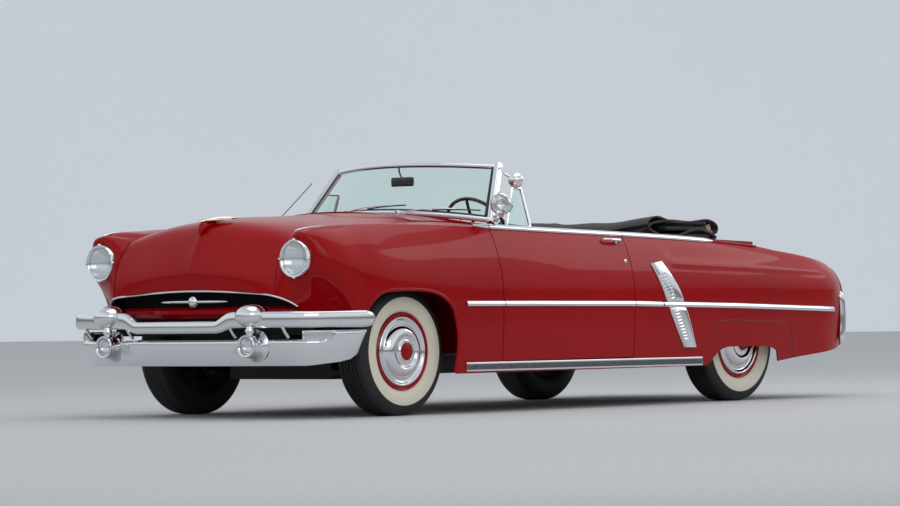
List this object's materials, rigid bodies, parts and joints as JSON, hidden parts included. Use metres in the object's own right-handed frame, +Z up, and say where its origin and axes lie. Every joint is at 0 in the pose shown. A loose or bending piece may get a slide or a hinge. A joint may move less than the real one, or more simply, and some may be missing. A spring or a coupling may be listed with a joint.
{
  "type": "1950s two-door convertible car",
  "caption": "Full-size 1950s convertible with its top folded, chrome bumpers, whitewall tyres, opening doors, hood and trunk, and steered front wheels.",
  "frame": {"origin": "on the ground at the centre of the footprint: centre line, mid length", "axes": "+X forward, +Y to the car's left, +Z up"},
  "size_m": [5.4378, 1.9676, 1.424],
  "materials": {
    "paint": "gloss deep red",
    "chrome": "polished",
    "frame_paint": "satin black",
    "cast": "as cast",
    "glass": "clear, faint green",
    "tail_lens": "red",
    "tyre": "black with a wide cream side band",
    "leather": "red seat hide",
    "top_cloth": "black canvas",
    "carpet": "cut pile",
    "plastic": "black",
    "wheel_paint": "gloss red with chrome cover"
  },
  "bodies": {
    "body": {"antenna": "chrome", "cowl": "paint", "dashboard": "paint", "engine": "cast", "floor_pan": "carpet", "fog_lamps": "chrome", "folded_top": "top_cloth", "frame": "frame_paint", "front_bumper": "chrome", "front_fenders": "paint", "front_lower_arms": "frame_paint", "front_seat": "leather", "front_upper_arms": "frame_paint", "grille": "frame_paint", "headlamps": "chrome", "leaf_springs": "frame_paint", "propshaft": "frame_paint", "radiator": "frame_paint", "rear_axle": "cast", "rear_bumper": "chrome", "rear_deck_panel": "paint", "rear_quarters": "paint", "rear_seat": "leather", "side_trim": "chrome", "sills": "paint", "spot_lamp": "chrome", "steering_column": "frame_paint", "tail_lamps": "tail_lens", "tail_panel": "paint", "windscreen_frame": "chrome", "windscreen_glass": "glass"},
    "door_left": {"door_left": "paint", "door_trim_left": "chrome"},
    "door_right": {"door_right": "paint", "door_trim_right": "chrome"},
    "hood": {"hood": "paint", "hood_ornament": "chrome"},
    "trunk_lid": {"trunk_lid": "paint"},
    "steering_wheel": {"steering_wheel": "plastic"},
    "knuckle_left": {"knuckle_left": "cast"},
    "knuckle_right": {"knuckle_right": "cast"},
    "wheel_front_left": {"tyre_front_left": "tyre", "wheel_front_left": "wheel_paint"},
    "wheel_front_right": {"tyre_front_right": "tyre", "wheel_front_right": "wheel_paint"},
    "wheel_rear_left": {"tyre_rear_left": "tyre", "wheel_rear_left": "wheel_paint"},
    "wheel_rear_right": {"tyre_rear_right": "tyre", "wheel_rear_right": "wheel_paint"}
  },
  "joints": [
    {"name": "steer_left", "type": "hinge", "parent": "body", "child": "knuckle_left", "pos_m": [1.749, 0.655, 0.352], "axis": [0, 0, 1], "range_deg": [-30, 30]},
    {"name": "steer_right", "type": "hinge", "parent": "body", "child": "knuckle_right", "pos_m": [1.749, -0.655, 0.352], "axis": [0, 0, 1], "range_deg": [-30, 30]},
    {"name": "steering_wheel_turn", "type": "hinge", "parent": "body", "child": "steering_wheel", "pos_m": [0.559, 0.4, 1.02], "axis": [-0.866, 0, 0.5], "range_deg": [-600, 600]},
    {"name": "roll_front_left", "type": "hinge", "parent": "knuckle_left", "child": "wheel_front_left", "pos_m": [1.749, 0.743, 0.352], "axis": [0, 1, 0], "continuous": true},
    {"name": "roll_front_right", "type": "hinge", "parent": "knuckle_right", "child": "wheel_front_right", "pos_m": [1.749, -0.743, 0.352], "axis": [0, 1, 0], "continuous": true},
    {"name": "roll_rear_left", "type": "hinge", "parent": "body", "child": "wheel_rear_left", "pos_m": [-1.375, 0.743, 0.352], "axis": [0, 1, 0], "continuous": true},
    {"name": "roll_rear_right", "type": "hinge", "parent": "body", "child": "wheel_rear_right", "pos_m": [-1.375, -0.743, 0.352], "axis": [0, 1, 0], "continuous": true},
    {"name": "door_left_swing", "type": "hinge", "parent": "body", "child": "door_left", "pos_m": [1.024, 0.988, 0.6], "axis": [0, 0, -1], "range_deg": [0, 65]},
    {"name": "door_right_swing", "type": "hinge", "parent": "body", "child": "door_right", "pos_m": [1.024, -0.988, 0.6], "axis": [0, 0, 1], "range_deg": [0, 65]},
    {"name": "hood_lift", "type": "hinge", "parent": "body", "child": "hood", "pos_m": [1.399, 0, 1.131], "axis": [0, -1, 0], "range_deg": [0, 50]},
    {"name": "trunk_lid_lift", "type": "hinge", "parent": "body", "child": "trunk_lid", "pos_m": [-1.567, 0, 0.972], "axis": [0, 1, 0], "range_deg": [0, 60]}
  ],
  "couplings": [
    {"joint": "steer_right", "follows": "steer_left", "ratio": 1},
    {"joint": "steering_wheel_turn", "follows": "steer_left", "ratio": 18}
  ]
}
